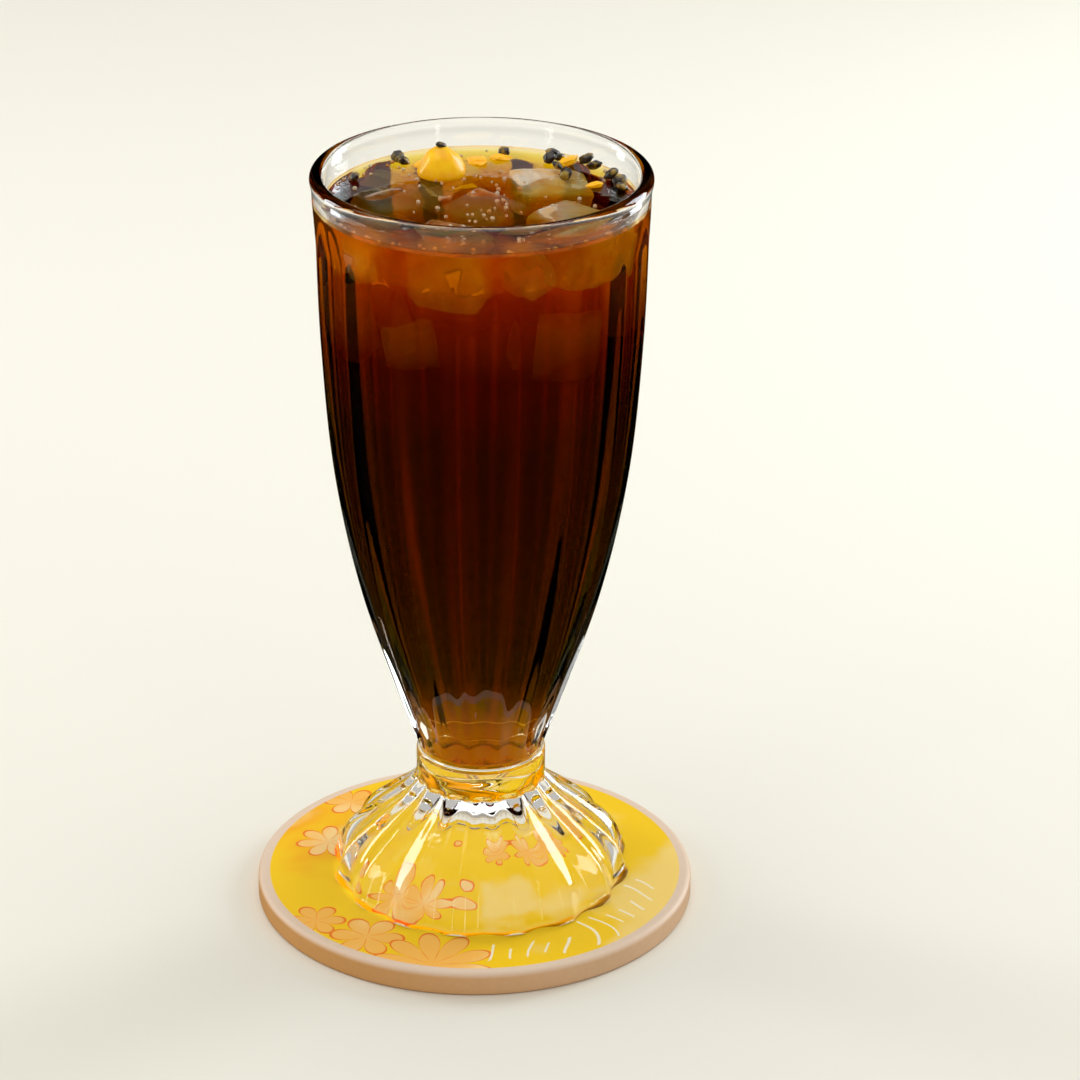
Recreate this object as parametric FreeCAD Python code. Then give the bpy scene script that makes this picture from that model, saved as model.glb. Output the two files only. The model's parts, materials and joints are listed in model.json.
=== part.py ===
"""Iced cold brew coffee with passion fruit, in a tall fluted soda glass on a round coaster.

The frame stands on the middle of the coaster's underside, with +Z up, and the side that the
coffee is served from faces -Y.  All sizes are in millimetres and all angles in degrees.
"""
import FreeCAD, Part
import math
import os
from FreeCAD import Vector

# Coaster
COASTER_DIAMETER = 110.4
COASTER_THICKNESS = 6.0
COASTER_TOP_ROUND = 1.4
COASTER_UNDER_ROUND = 0.8

# Glass: overall sizes, and where it stands on the coaster
GLASS_HEIGHT = 187.5
GLASS_OFFSET = 1.5
RIM_DIAMETER = 82.0
FOOT_DIAMETER = 76.0
FLUTES = 16
FLUTE_TURN = 2.85

# Glass: lip and bowl
LIP_THICKNESS = 3.4
LIP_PROUD = 0.5
LIP_HEIGHT = 4.6
LOW_WALL = 6.3
NECK_DIAMETER = 30.8
# The bowl's outline between neck and lip: share of the height, share of the flare.
BOWL_SWELL = ((0.12, 0.245), (0.29, 0.565), (0.51, 0.83), (0.75, 0.955))

# Glass: the well at the bottom of the bowl
FLOOR_HEIGHT = 33.2
WELL_DEPTH = 10.4
WELL_STEP = 0.7
WELL_TAPER = 0.8
WELL_ROUND = 5.0

# Glass: foot and collar
FOOT_HEIGHT = 26.5
FOOT_EDGE_ROUND = 1.6
# The foot's outline from its edge up to the collar: share of the height, share of the drop.
FOOT_SWELL = ((0.30, 0.14), (0.62, 0.52), (0.86, 0.86))
COLLAR_DIAMETER = 32.4
COLLAR_HEIGHT = 9.0
COLLAR_ROUND = 1.2

# Glass: the hollow under the foot
HOLLOW_RIM = 4.0
HOLLOW_CROWN = 9.5

# Flutes: how flat they are, and where they run out
RIDGE_WIDTH = 1.1
ARCH_GAP = 2.6
ARCH_HEIGHT = 9.0
FADE_HEIGHT = 8.0
ARCH_RINGS = 4
OUTLINE_RINGS = 9

# Drink
FREEBOARD = 7.6

# Ice blocks that break the surface
ICE_EDGE = 18.0
ICE_ROUND = 1.8
ICE_GAP = 0.6
ICE_INSET = 13.5
ICE_TILT_AXIS = Vector(1, 0.6, 0)
# Place across and along as a share of the room, length, width and height as a share of the
# edge, turn about the upright axis, tilt, and how far the top stands out of the coffee.
ICE_BLOCKS = (
    (-0.84, 0.12, 1.05, 0.95, 0.90, 24.0, 7.0, 1.0),
    (0.02, -0.10, 1.00, 1.05, 0.85, -38.0, 9.0, 0.8),
    (0.66, 0.62, 1.05, 1.00, 0.95, 12.0, 8.0, 1.3),
    (0.86, -0.34, 0.85, 0.90, 0.80, 50.0, 6.0, 0.6),
    (-0.28, -0.95, 0.95, 0.90, 0.85, -15.0, 8.0, 0.9),
)

# Sac of passion fruit pulp that floats at the back
SAC_DIAMETER = 12.0
SAC_ABOVE = 7.4
SAC_BELOW = 4.0
SAC_PLACE = (-0.27, 0.53)
# The sac's outline from its underside to its tip: share of the height, share of the radius.
SAC_SWELL = ((0.0, 0.3), (0.35, 1.0), (0.69, 0.72), (1.0, 0.16))

# Worked out from the sizes above; heights below are over the glass's own base
RIM_RADIUS = RIM_DIAMETER / 2
LIP_RADIUS = LIP_THICKNESS / 2
BAND_RADIUS = RIM_RADIUS - LIP_PROUD
MOUTH_RADIUS = RIM_RADIUS - LIP_THICKNESS
LIP_BASE = GLASS_HEIGHT - LIP_HEIGHT
NECK_RADIUS = NECK_DIAMETER / 2
NECK_HEIGHT = FOOT_HEIGHT + COLLAR_HEIGHT
FLAT = math.cos(math.pi / FLUTES)
RIM_WALL = BAND_RADIUS * FLAT - MOUTH_RADIUS
WELL_TOP = FLOOR_HEIGHT + WELL_DEPTH
LEVEL = GLASS_HEIGHT - FREEBOARD
OVERLAP = 1.0
NEAR = 0.01


def point(radius, height):
    """A point of an upright outline."""
    return Vector(radius, 0, height)


def line(start, end):
    """A straight edge."""
    return Part.LineSegment(start, end).toShape()


def arc(start, end, bulge):
    """A quarter arc between two points, with its square corner at bulge."""
    middle = (start + end) * 0.5
    radius = (start - bulge).Length
    reach = bulge - middle
    centre = middle - reach
    through = centre + reach.normalize() * radius
    return Part.Arc(start, through, end).toShape()


def curve(points, start_way=None, end_way=None):
    """A smooth curve through points, with the ways it sets off and arrives if given."""
    spline = Part.BSplineCurve()
    if start_way is None:
        spline.interpolate(Points=points)
    else:
        spline.interpolate(Points=points, InitialTangent=start_way, FinalTangent=end_way)
    return spline


def turned(edges):
    """The solid that a closed outline makes round the upright axis."""
    face = Part.Face(Part.Wire(edges))
    return face.revolve(Vector(0, 0, 0), Vector(0, 0, 1), 360)


def swell(low, high, shares):
    """A smooth outline from low to high through points given as shares of both ways."""
    inside = [
        point(low.x + (high.x - low.x) * across, low.z + (high.z - low.z) * up)
        for up, across in shares
    ]
    return curve([low] + inside + [high])


def radius_at(outline, height):
    """The radius of an outline at a height."""
    level = Part.LineSegment(point(0, height), point(RIM_DIAMETER + FOOT_DIAMETER, height))
    return outline.intersect(level)[0].X


def ring(radius, height):
    """A flat-sided ring with one side for each flute."""
    step = 360.0 / FLUTES
    first = FLUTE_TURN - 90 + step / 2
    corners = []
    for side in range(FLUTES + 1):
        angle = math.radians(first + (side % FLUTES) * step)
        corners.append(Vector(radius * math.cos(angle), radius * math.sin(angle), height))
    return Part.makePolygon(corners)


def ridge_share(radius):
    """How far a flute's corner stands over a radius, so that the ridge keeps its width."""
    half_ridge = RIDGE_WIDTH / 2 / radius
    return math.cos(math.pi / FLUTES - half_ridge) / FLAT


def bowl_outline():
    """The bowl's outer outline, from the neck to the lip."""
    return swell(point(NECK_RADIUS, NECK_HEIGHT), point(BAND_RADIUS, LIP_BASE), BOWL_SWELL)


def outer_radius(height):
    """The bowl's outer radius at a height, over the ridges."""
    return radius_at(bowl_outline(), height)


def inner_radius(height):
    """The cavity's radius at a height above the well."""
    if height >= LIP_BASE:
        return MOUTH_RADIUS
    share = (height - WELL_TOP) / (LIP_BASE - WELL_TOP)
    wall = LOW_WALL + (RIM_WALL - LOW_WALL) * share
    return outer_radius(height) * FLAT - wall


def heights(low, high, count):
    """Even heights from low to high, both with them."""
    return [low + (high - low) * step / (count - 1) for step in range(count)]


def bowl_flutes():
    """The flat-sided body that cuts the bowl's flutes, arched under the lip."""
    arch_top = LIP_BASE - ARCH_GAP
    arch_base = arch_top - ARCH_HEIGHT
    fade_top = NECK_HEIGHT + FADE_HEIGHT
    rings = []
    for height in heights(fade_top, arch_base, OUTLINE_RINGS):
        radius = outer_radius(height)
        rings.append(ring(radius * ridge_share(radius), height))
    clear = (BAND_RADIUS + LIP_PROUD + OVERLAP) / FLAT
    neck = outer_radius(fade_top) / FLAT
    flat_top = outer_radius(arch_base) * ridge_share(BAND_RADIUS)
    rise = outer_radius(arch_top) / FLAT - flat_top
    for height in heights(arch_base, arch_top, ARCH_RINGS)[1:]:
        share = (height - arch_base) / ARCH_HEIGHT
        rings.append(ring(flat_top + rise * share, height))
    rings.append(ring(clear, GLASS_HEIGHT + OVERLAP))
    rings.insert(0, ring(neck, NECK_HEIGHT - OVERLAP))
    return Part.makeLoft(rings, True, False)


def bowl():
    """The bowl's outside, solid, with its rounded lip."""
    outline = bowl_outline()
    low = point(NECK_RADIUS, NECK_HEIGHT)
    under = point(NECK_RADIUS, NECK_HEIGHT - OVERLAP)
    band = point(BAND_RADIUS, LIP_BASE)
    outer = point(RIM_RADIUS, GLASS_HEIGHT - LIP_RADIUS)
    top = point(RIM_RADIUS - LIP_RADIUS, GLASS_HEIGHT)
    corner = point(RIM_RADIUS, GLASS_HEIGHT)
    edges = [
        line(point(0, NECK_HEIGHT - OVERLAP), under),
        line(under, low),
        outline.toShape(),
        curve([band, outer], point(0, 1), point(0, 1)).toShape(),
        arc(outer, top, corner),
        line(top, point(0, GLASS_HEIGHT)),
        line(point(0, GLASS_HEIGHT), point(0, NECK_HEIGHT - OVERLAP)),
    ]
    return turned(edges).common(bowl_flutes())


def foot():
    """The domed foot with its flutes, up to the collar's middle."""
    foot_radius = FOOT_DIAMETER / 2
    edge = point(foot_radius, FOOT_EDGE_ROUND)
    base = point(foot_radius - FOOT_EDGE_ROUND, 0)
    crown = point(COLLAR_DIAMETER / 2, FOOT_HEIGHT)
    outline = swell(edge, crown, FOOT_SWELL)
    edges = [
        line(point(0, 0), base),
        arc(base, edge, point(foot_radius, 0)),
        outline.toShape(),
        line(crown, point(0, FOOT_HEIGHT)),
        line(point(0, FOOT_HEIGHT), point(0, 0)),
    ]
    low = foot_radius * ridge_share(foot_radius)
    rings = [ring(low, -OVERLAP)]
    for height in heights(FOOT_EDGE_ROUND, FOOT_HEIGHT, OUTLINE_RINGS):
        radius = radius_at(outline, height)
        rings.append(ring(radius * ridge_share(radius), height))
    return turned(edges).common(Part.makeLoft(rings, True, False))


def collar():
    """The round collar between foot and bowl."""
    base = FOOT_HEIGHT - OVERLAP
    body = Part.makeCylinder(COLLAR_DIAMETER / 2, COLLAR_HEIGHT + OVERLAP, Vector(0, 0, base))
    rims = [edge for edge in body.Edges if edge.BoundBox.ZMin > NECK_HEIGHT - NEAR]
    return body.makeFillet(COLLAR_ROUND, rims)


def hollow():
    """The domed hollow under the foot, which leaves a ring for the glass to stand on."""
    radius = FOOT_DIAMETER / 2 - HOLLOW_RIM
    height = FOOT_HEIGHT - HOLLOW_CROWN
    dome = Part.makeSphere(radius)
    flatten = FreeCAD.Matrix()
    flatten.scale(1, 1, height / radius)
    return dome.transformGeometry(flatten)


def cavity():
    """The space inside the glass: the well, the flare above it and the mouth."""
    flare_radius = inner_radius(WELL_TOP)
    well_radius = flare_radius - WELL_STEP
    floor_radius = well_radius - WELL_TAPER
    floor_centre = point(0, FLOOR_HEIGHT)
    floor_edge = point(floor_radius - WELL_ROUND, FLOOR_HEIGHT)
    wall_foot = point(floor_radius, FLOOR_HEIGHT + WELL_ROUND)
    well_edge = point(well_radius, WELL_TOP)
    flare_edge = point(flare_radius, WELL_TOP + WELL_STEP)
    levels = heights(WELL_TOP + WELL_STEP, LIP_BASE, OUTLINE_RINGS)
    flare = [point(inner_radius(height), height) for height in levels]
    flare[0] = flare_edge
    mouth = point(MOUTH_RADIUS, GLASS_HEIGHT - LIP_RADIUS)
    over = point(RIM_RADIUS - LIP_RADIUS, GLASS_HEIGHT)
    edges = [
        line(floor_centre, floor_edge),
        arc(floor_edge, wall_foot, point(floor_radius, FLOOR_HEIGHT)),
        line(wall_foot, well_edge),
        line(well_edge, flare_edge),
        curve(flare).toShape(),
        line(flare[-1], mouth),
        arc(mouth, over, point(MOUTH_RADIUS, GLASS_HEIGHT)),
        line(over, point(0, GLASS_HEIGHT)),
        line(point(0, GLASS_HEIGHT), floor_centre),
    ]
    return turned(edges)


def sac_place(height):
    """A point of the sac's upright axis."""
    across, along = SAC_PLACE
    reach = inner_radius(LEVEL)
    return Vector(across * reach, along * reach, height)


def sac():
    """One drop-shaped sac of pulp, widest at the surface of the drink."""
    low = LEVEL - SAC_BELOW
    high = LEVEL + SAC_ABOVE
    side = [point(SAC_DIAMETER / 2 * out, low + (high - low) * up) for up, out in SAC_SWELL]
    edges = [
        line(point(0, low), side[0]),
        curve(side).toShape(),
        line(side[-1], point(0, high)),
        line(point(0, high), point(0, low)),
    ]
    return turned(edges).translated(sac_place(0))


def ice_place(block):
    """The middle of an ice block on the drink's surface."""
    room = inner_radius(LEVEL) - ICE_INSET
    return Vector(block[0] * room, block[1] * room, LEVEL)


def half_space(start, way):
    """A large box that starts at a point and fills all that lies its way."""
    reach = RIM_DIAMETER
    box = Part.makeBox(reach * 2, reach * 2, reach * 2, Vector(-reach, -reach, 0))
    spin = FreeCAD.Rotation(Vector(0, 0, 1), way)
    box.Placement = FreeCAD.Placement(start, spin)
    return box


def ice(number):
    """One tilted ice block, kept clear of the wall, its neighbours and the sac."""
    block = ICE_BLOCKS[number]
    length, width, height = (ICE_EDGE * share for share in block[2:5])
    turn, tilt, proud = block[5:8]
    box = Part.makeBox(length, width, height, Vector(-length / 2, -width / 2, -height / 2))
    box = box.makeFillet(ICE_ROUND, box.Edges)
    box.rotate(Vector(0, 0, 0), ICE_TILT_AXIS, tilt)
    box.rotate(Vector(0, 0, 0), Vector(0, 0, 1), turn)
    middle = ice_place(block)
    box.translate(Vector(middle.x, middle.y, LEVEL + proud - box.BoundBox.ZMax))
    lowest = box.BoundBox.ZMin
    room = inner_radius(lowest) - ICE_GAP
    tub = Part.makeCylinder(room, GLASS_HEIGHT - lowest + OVERLAP, Vector(0, 0, lowest))
    box = box.common(tub)
    for other, neighbour in enumerate(ICE_BLOCKS):
        if other == number:
            continue
        way = ice_place(neighbour) - middle
        border = middle + way * 0.5
        border -= way.normalize() * ICE_GAP / 2
        box = box.cut(half_space(border, way))
    low = sac_place(LEVEL - SAC_BELOW - ICE_GAP)
    return box.cut(Part.makeCylinder(SAC_DIAMETER / 2 + ICE_GAP, GLASS_HEIGHT, low))


def coaster():
    """The flat round coaster."""
    disc = Part.makeCylinder(COASTER_DIAMETER / 2, COASTER_THICKNESS)
    top = [edge for edge in disc.Edges if edge.BoundBox.ZMin > COASTER_THICKNESS - NEAR]
    disc = disc.makeFillet(COASTER_TOP_ROUND, top)
    under = [edge for edge in disc.Edges if edge.BoundBox.ZMax < NEAR]
    return disc.makeFillet(COASTER_UNDER_ROUND, under)


def on_coaster(shape):
    """Stand a piece of the filled glass on the coaster."""
    return shape.translated(Vector(GLASS_OFFSET, 0, COASTER_THICKNESS))


def save(name, shape):
    """Write one piece and say what it is."""
    if not shape.isValid() or len(shape.Solids) != 1:
        raise ValueError("%s is not one sound solid" % name)
    shape.Solids[0].exportStep("parts/%s.step" % name)
    print("%-20s %10.1f mm3" % (name, shape.Volume))


def main():
    """Build and write every piece."""
    os.makedirs("parts", exist_ok=True)
    inside = cavity()
    glass = foot().fuse([collar(), bowl()]).cut([inside, hollow()])
    pulp = sac()
    blocks = [ice(number) for number in range(len(ICE_BLOCKS))]
    air = Part.makeCylinder(RIM_RADIUS, GLASS_HEIGHT, Vector(0, 0, LEVEL))
    coffee = inside.cut([air, pulp] + blocks)
    save("coaster", coaster())
    save("glass", on_coaster(glass))
    save("coffee", on_coaster(coffee))
    save("passion_fruit_sac", on_coaster(pulp))
    for number, block in enumerate(blocks):
        save("ice_%d" % (number + 1), on_coaster(block))


main()
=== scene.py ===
"""Iced cold brew coffee with passion fruit, in a tall fluted glass on a round coaster."""
import json
import math
import random

import bmesh
import bpy
from bpy.props import FloatProperty, FloatVectorProperty, IntProperty, PointerProperty
from mathutils import Euler, Matrix, Vector, noise

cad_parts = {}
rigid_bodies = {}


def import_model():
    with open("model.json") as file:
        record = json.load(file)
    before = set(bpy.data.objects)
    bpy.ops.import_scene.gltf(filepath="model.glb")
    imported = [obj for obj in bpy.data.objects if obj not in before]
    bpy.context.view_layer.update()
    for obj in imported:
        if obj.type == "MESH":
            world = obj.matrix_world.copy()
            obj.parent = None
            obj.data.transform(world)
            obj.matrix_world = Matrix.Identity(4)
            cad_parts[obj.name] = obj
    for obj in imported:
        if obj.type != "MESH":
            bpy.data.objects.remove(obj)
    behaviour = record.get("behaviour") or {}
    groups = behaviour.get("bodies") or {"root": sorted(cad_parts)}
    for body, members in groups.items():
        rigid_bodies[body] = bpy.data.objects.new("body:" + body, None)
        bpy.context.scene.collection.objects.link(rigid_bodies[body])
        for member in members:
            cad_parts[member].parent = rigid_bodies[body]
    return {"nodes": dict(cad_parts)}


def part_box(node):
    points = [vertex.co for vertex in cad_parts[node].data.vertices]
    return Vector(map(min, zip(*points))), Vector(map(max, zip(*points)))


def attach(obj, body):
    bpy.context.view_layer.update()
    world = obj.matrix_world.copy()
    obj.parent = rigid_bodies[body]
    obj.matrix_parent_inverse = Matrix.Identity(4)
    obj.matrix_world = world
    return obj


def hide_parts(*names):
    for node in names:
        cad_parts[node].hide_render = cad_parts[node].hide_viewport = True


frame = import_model()

bl_info = {
    "name": "Iced Cold Brew Coffee",
    "version": (1, 0, 0),
    "blender": (4, 5, 0),
    "location": "3D View > Sidebar > Drink",
    "description": "Builds an iced cold brew coffee in a fluted glass on a coaster",
    "category": "Add Mesh",
}

MM = 0.001
BODY = "root"
GLASS_LOW, GLASS_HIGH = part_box("glass")
COFFEE_LOW, COFFEE_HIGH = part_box("coffee")
COASTER_LOW, COASTER_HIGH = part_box("coaster")
SAC_LOW, SAC_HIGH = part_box("passion_fruit_sac")
GLASS_MIDDLE = (GLASS_LOW + GLASS_HIGH) / 2
ICE_NODES = sorted(name for name in frame["nodes"] if name.startswith("ice_"))


# ---------------------------------------------------------------- sizes and colours


def length_of(name, description, default):
    """A length that can be set, in metres."""
    return FloatProperty(name=name, description=description, unit="LENGTH", default=default)


def angle_of(name, description, default):
    """An angle that can be set, in radians."""
    return FloatProperty(name=name, description=description, subtype="ANGLE", default=default)


def colour_of(name, description, default):
    """A colour that can be set."""
    return FloatVectorProperty(name=name, description=description, subtype="COLOR", size=3,
                               min=0.0, max=1.0, default=default)


class GlassSizes(bpy.types.PropertyGroup):
    """Sizes of the fluted glass."""

    rim_radius: length_of(
        "Rim Radius", "Outer radius of the lip", (GLASS_HIGH.x - GLASS_LOW.x) / 2)
    height: length_of("Height", "Height of the glass", GLASS_HIGH.z - GLASS_LOW.z)
    flutes: IntProperty(name="Flutes", description="Number of flutes round the glass", default=16)
    flute_turn: angle_of(
        "Flute Turn", "Turn of the front flute from straight ahead", math.radians(2.85))
    ridge_width: length_of(
        "Ridge Width", "Width of the rounded ridge between two flutes", 1.1 * MM)
    foot_radius: length_of("Foot Radius", "Outer radius of the foot", 38.0 * MM)
    foot_height: length_of("Foot Height", "Height of the foot's dome", 26.5 * MM)
    collar_radius: length_of("Collar Radius", "Radius of the collar", 16.2 * MM)
    collar_height: length_of("Collar Height", "Height of the collar", 9.0 * MM)
    neck_radius: length_of("Neck Radius", "Radius of the groove over the collar", 15.4 * MM)
    lip: length_of("Lip Thickness", "Thickness of the rounded lip", 3.4 * MM)
    low_wall: length_of("Low Wall", "Wall thickness at the bottom of the bowl", 6.3 * MM)
    tint: colour_of("Tint", "Colour of the clear glass", (0.985, 0.99, 0.99))


class DrinkLooks(bpy.types.PropertyGroup):
    """Colours of the drink and of what floats in it."""

    thin: colour_of(
        "Coffee", "Colour that light keeps after a way through the coffee", (0.976, 0.906, 0.0))
    density: FloatProperty(
        name="Strength", description="How strongly the coffee takes up light, per metre",
        default=500.0)
    top: colour_of(
        "Top Tint", "Tint of the thin coffee round the melting ice", (1.0, 0.74, 0.38))
    upper: colour_of("Upper Tint", "Tint of the coffee just below the ice", (0.17, 0.036, 0.018))
    middle: colour_of(
        "Middle Tint", "Tint of the strong coffee in the middle", (0.040, 0.042, 0.05))
    bottom: colour_of(
        "Bottom Tint", "Tint of the coffee in the narrow well", (0.45, 0.20, 0.08))
    # Ridge Tint is painted light: the coffee is shifted towards it behind each ridge of the
    # glass, which lays lighter lines into the dark coffee.
    ridge: colour_of(
        "Ridge Tint", "Tint of the coffee behind a ridge of the glass", (0.42, 0.13, 0.03))
    film: colour_of(
        "Film Tint", "Tint of the film of coffee on the near wall", (0.56, 0.17, 0.01))
    # Painted glow: the coffee film on the near wall gives off this light, though it is no lamp.
    film_painted_glow: colour_of(
        "Film Glow", "Light that the film of coffee scatters", (0.50, 0.13, 0.0))
    pulp: colour_of("Pulp", "Colour of the passion fruit pulp", (0.98, 0.56, 0.0))
    seed: colour_of("Seed", "Colour of the seeds", (0.022, 0.012, 0.006))
    seed_film: colour_of("Seed Film", "Colour of the pulp left on the seeds", (0.36, 0.22, 0.01))


class CoasterLooks(bpy.types.PropertyGroup):
    """Colours of the coaster and its print."""

    field: colour_of("Field", "Main colour of the print", (0.98, 0.61, 0.0))
    warm: colour_of("Warm Field", "Deeper colour of the print by the petals", (0.98, 0.40, 0.0))
    faded: colour_of("Faded Field", "Palest colour of the print", (0.98, 0.80, 0.42))
    petal: colour_of("Petal", "Fill of the printed petals", (0.99, 0.50, 0.08))
    pale_petal: colour_of("Pale Petal", "Paler fill of the printed petals", (1.0, 0.66, 0.26))
    outline: colour_of("Outline", "Line round the printed petals", (0.90, 0.20, 0.0))
    stroke: colour_of("Stroke", "Colour of the short strokes", (0.97, 0.86, 0.62))
    border: colour_of("Border", "Bare colour at the edge", (0.86, 0.66, 0.50))
    # Side is the left end of a painted shading across the side, which pales towards the border
    # colour on the right.
    side: colour_of("Side", "Bare colour of the side", (0.72, 0.36, 0.11))
    speck: colour_of("Speck", "Dark specks in the side", (0.45, 0.25, 0.12))


class StageLooks(bpy.types.PropertyGroup):
    """Floor, light and camera."""

    floor: colour_of("Floor", "Colour of the floor", (0.855, 0.83, 0.735))
    daylight: FloatProperty(
        name="Daylight", description="Strength of the light from all round", default=0.55)
    across: length_of("Camera Across", "Place of the camera across the glass", 0.0160)
    distance: length_of("Camera Distance", "Level distance from the glass", 0.9416)
    camera_height: length_of("Camera Height", "Height of the camera over the floor", 0.5237)
    aim_down: angle_of("Aim", "How far the camera looks down", math.radians(24.36))
    lean: angle_of("Lean", "How far the camera leans to the side", 0.008)
    lens: FloatProperty(
        name="Lens", description="Focal length of the camera, in millimetres", default=139.7)


# ---------------------------------------------------------------- shader helpers


class Wire:
    """A value or colour in a material, which takes part in plain expressions."""

    def __init__(self, tree, socket):
        self.tree = tree
        self.socket = socket

    def other(self, output):
        """Another output of the same node."""
        return Wire(self.tree, self.socket.node.outputs[output])

    def _math(self, operation, first, second=0.0):
        return self.tree.node("ShaderNodeMath", {"operation": operation}, {0: first, 1: second})

    def __add__(self, other):
        return self._math("ADD", self, other)

    __radd__ = __add__

    def __sub__(self, other):
        return self._math("SUBTRACT", self, other)

    def __rsub__(self, other):
        return self._math("SUBTRACT", other, self)

    def __mul__(self, other):
        return self._math("MULTIPLY", self, other)

    __rmul__ = __mul__

    def __truediv__(self, other):
        return self._math("DIVIDE", self, other)

    def __rtruediv__(self, other):
        return self._math("DIVIDE", other, self)

    def __pow__(self, other):
        return self._math("POWER", self, other)

    def __lt__(self, other):
        return self._math("LESS_THAN", self, other)

    def __gt__(self, other):
        return self._math("GREATER_THAN", self, other)

    def __mod__(self, other):
        return self._math("FLOORED_MODULO", self, other)

    def __abs__(self):
        return self._math("ABSOLUTE", self)

    def cosine(self):
        """The cosine of an angle."""
        return self._math("COSINE", self)

    def turn_of(self, other):
        """The angle of the point whose height is this and whose reach is the other."""
        return self._math("ARCTAN2", self, other)

    def either(self, other):
        """The larger of two values."""
        return self._math("MAXIMUM", self, other)


class Material:
    """A node material under one Principled shader."""

    def __init__(self, name, **values):
        self.data = bpy.data.materials.new(name)
        self.data.use_nodes = True
        self.nodes = self.data.node_tree.nodes
        self.links = self.data.node_tree.links
        self.shader = self.nodes["Principled BSDF"]
        for label, value in values.items():
            self.set(label, value)

    def set(self, label, value):
        """Set or link one input of the main shader by its label."""
        self._feed(self.shader.inputs[label.replace("_", " ")], value)

    def _feed(self, socket, value):
        if isinstance(value, Wire):
            self.links.new(value.socket, socket)
        elif socket.type == "RGBA":
            socket.default_value = (*value[:3], 1.0)
        else:
            socket.default_value = value

    def node(self, kind, settings, sockets, output=0):
        """Add a node: its settings first, then what its sockets hold or are linked to."""
        made = self.nodes.new(kind)
        for key, value in settings.items():
            if key == "stops":
                self._stops(made.color_ramp, value)
            else:
                setattr(made, key, value)
        for key, value in sockets.items():
            self._feed(made.inputs[key], value)
        return Wire(self, made.outputs[output])

    @staticmethod
    def _stops(ramp, stops):
        while len(ramp.elements) < len(stops):
            ramp.elements.new(0.5)
        for element, (place, colour) in zip(ramp.elements, stops):
            element.position = place
            element.color = (*colour[:3], 1.0)

    def place(self):
        """The place on the piece, in metres, as a vector."""
        return self.node("ShaderNodeTexCoord", {}, {}, "Object")

    def axes(self):
        """The three coordinates of the place on the piece."""
        split = self.node("ShaderNodeSeparateXYZ", {}, {0: self.place()})
        return [split.other(axis) for axis in range(3)]

    def clouds(self, scale, detail=3.0, rough=0.5, stretch=(1, 1, 1)):
        """A soft random value over the piece."""
        where = self.node("ShaderNodeMapping", {}, {"Vector": self.place(), "Scale": stretch})
        return self.node("ShaderNodeTexNoise", {}, {"Vector": where, "Scale": scale,
                                                    "Detail": detail, "Roughness": rough})

    def range(self, value, low, high, start=0.0, end=1.0):
        """A value brought smoothly from one range into another."""
        return self.node("ShaderNodeMapRange", {"interpolation_type": "SMOOTHSTEP"},
                         {0: value, 1: low, 2: high, 3: start, 4: end})

    def mix(self, share, first, second):
        """A colour between two colours."""
        return self.node("ShaderNodeMix", {"data_type": "RGBA"},
                         {0: share, 6: first, 7: second}, 2)

    def ramp(self, value, stops):
        """A colour that follows a value through several stops."""
        return self.node("ShaderNodeValToRGB", {"stops": stops}, {0: value})

    def bump(self, height, strength, depth):
        """Fine relief for the main shader."""
        self.set("Normal", self.node("ShaderNodeBump", {}, {
            "Height": height, "Strength": strength, "Distance": depth}))

    def drink_up(self, colour, density):
        """Make the piece take up light on the way through it."""
        takes = self.node("ShaderNodeVolumeAbsorption", {}, {
            "Color": colour, "Density": density})
        self._feed(self.nodes["Material Output"].inputs["Volume"], takes)


# ---------------------------------------------------------------- mesh helpers


def mix(first, second, share):
    """A number part of the way from one to another."""
    return first + (second - first) * share


def mix_colour(first, second, share):
    """A colour part of the way from one to another."""
    return [mix(low, high, share) for low, high in zip(first, second)]


def smooth_path(points, per_span):
    """Points on a smooth curve through the given ones."""
    points = [Vector(point) for point in points]
    ends = [points[0] * 2 - points[1]] + points + [points[-1] * 2 - points[-2]]
    path = []
    for first, start, end, last in zip(ends, ends[1:], ends[2:], ends[3:]):
        for step in range(per_span):
            share = step / per_span
            path.append(span_point(first, start, end, last, share))
    path.append(points[-1])
    return path


def span_point(first, start, end, last, share):
    """A point of a smooth span whose slope at each end fits both its neighbours."""
    gaps = [max((b - a).length, 1e-9) for a, b in ((first, start), (start, end), (end, last))]
    way_in = (start - first) / gaps[0] - (end - first) / (gaps[0] + gaps[1])
    way_in = (way_in + (end - start) / gaps[1]) * gaps[1]
    way_out = (end - start) / gaps[1] - (last - start) / (gaps[1] + gaps[2])
    way_out = (way_out + (last - end) / gaps[2]) * gaps[1]
    square, cube = share ** 2, share ** 3
    return (start * (2 * cube - 3 * square + 1) + way_in * (cube - 2 * square + share)
            + end * (3 * square - 2 * cube) + way_out * (cube - square))


def quarter(centre, start, end, radii, steps):
    """Points on a quarter of an ellipse between two angles, in radius and height."""
    turns = [mix(start, end, step / steps) for step in range(steps + 1)]
    return [(centre[0] + radii[0] * math.cos(turn), centre[1] + radii[1] * math.sin(turn))
            for turn in turns]


def riding(name, mesh, material, smooth):
    """A piece with this mesh, which rides with the drink."""
    mesh.polygons.foreach_set("use_smooth", [smooth] * len(mesh.polygons))
    piece = bpy.data.objects.new(name, mesh)
    bpy.context.collection.objects.link(piece)
    piece.data.materials.append(material)
    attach(piece, BODY)
    return piece


def mesh_piece(name, shape, material):
    """A smooth piece from its vertices and faces."""
    verts, faces = shape
    mesh = bpy.data.meshes.new(name)
    mesh.from_pydata(verts, [], faces)
    mesh.validate()
    return riding(name, mesh, material, True)


def solid_block(name, bm, material, smooth=False):
    """A piece from a block being shaped."""
    bmesh.ops.recalc_face_normals(bm, faces=bm.faces)
    mesh = bpy.data.meshes.new(name)
    bm.to_mesh(mesh)
    bm.free()
    return riding(name, mesh, material, smooth)


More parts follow.
